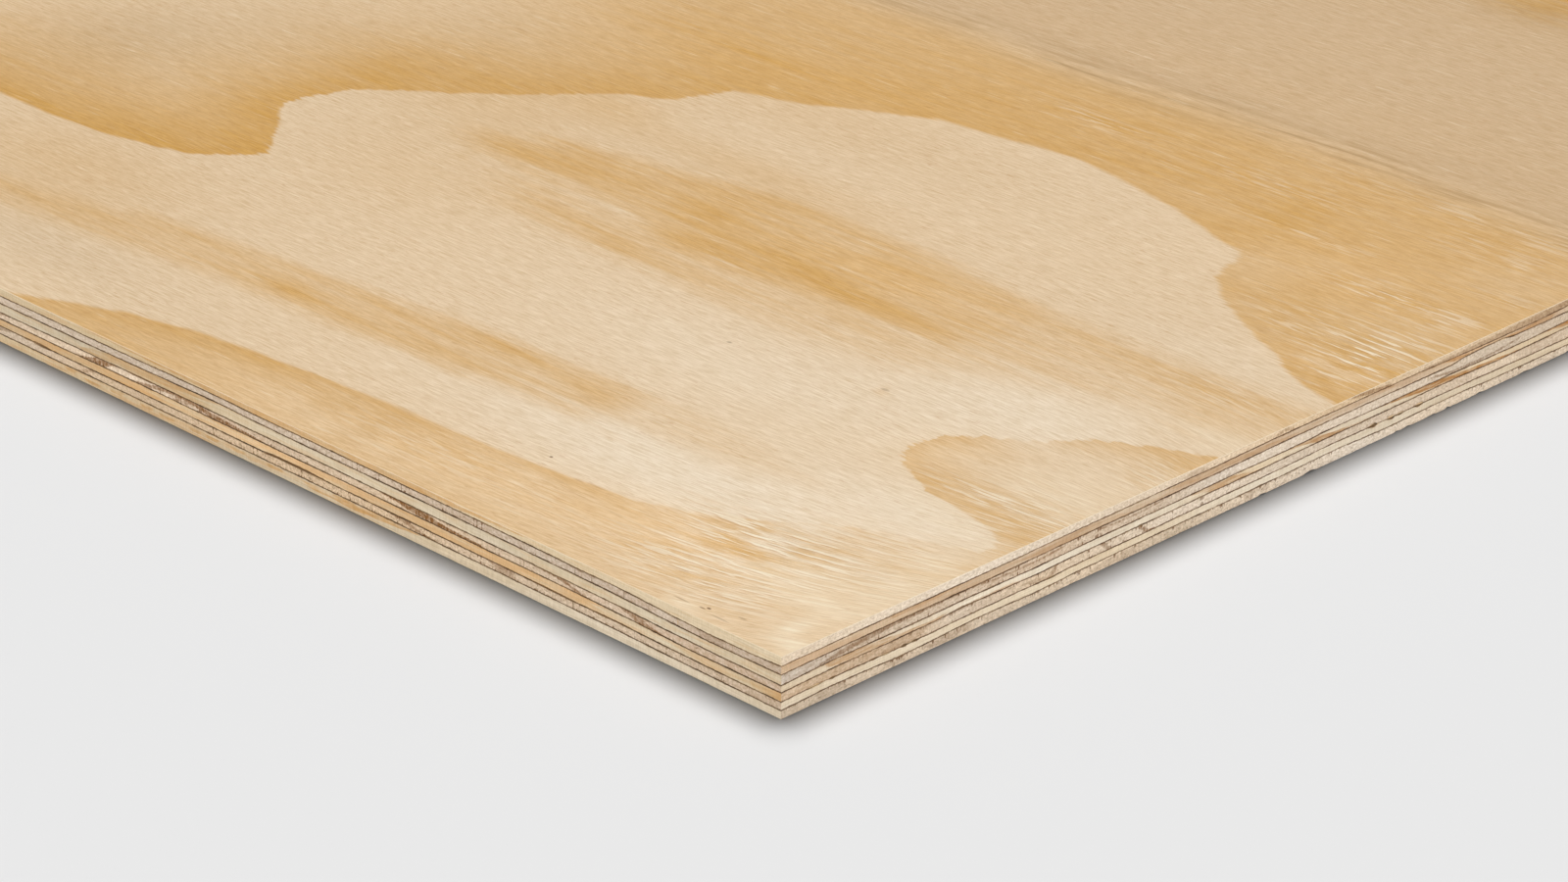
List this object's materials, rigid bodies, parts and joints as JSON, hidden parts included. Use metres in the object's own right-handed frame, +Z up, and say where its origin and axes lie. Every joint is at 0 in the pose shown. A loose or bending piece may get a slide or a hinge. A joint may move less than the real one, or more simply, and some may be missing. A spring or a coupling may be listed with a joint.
{
  "type": "plywood sheet",
  "caption": "Full flat sheet of softwood plywood, cross-laid veneers parted by thin dark glue lines, with a pale face of amber growth-ring figure and plain sawn edges.",
  "frame": {"origin": "middle of the underside, on the surface the sheet lies on", "axes": "+X along the sheet's length and its face grain, +Y across its width, +Z up out of the face veneer"},
  "size_m": [2.44, 1.22, 0.018],
  "materials": {
    "face_veneer": "sanded softwood, uncoated",
    "back_veneer": "peeled softwood, uncoated",
    "core_veneer": "peeled softwood, sawn at the edges",
    "crossband": "peeled softwood, sawn at the edges",
    "glue_line": "cured dark resin"
  },
  "bodies": {
    "root": {"face_veneer": "face_veneer", "glue_line_1": "glue_line", "upper_crossband_sheet_1": "crossband", "upper_crossband_sheet_2": "crossband", "upper_crossband_sheet_3": "crossband", "glue_line_2": "glue_line", "upper_core_veneer": "core_veneer", "glue_line_3": "glue_line", "centre_crossband_sheet_1": "crossband", "centre_crossband_sheet_2": "crossband", "centre_crossband_sheet_3": "crossband", "glue_line_4": "glue_line", "lower_core_veneer": "core_veneer", "glue_line_5": "glue_line", "lower_crossband_sheet_1": "crossband", "lower_crossband_sheet_2": "crossband", "lower_crossband_sheet_3": "crossband", "glue_line_6": "glue_line", "back_veneer": "back_veneer"}
  },
  "joints": []
}
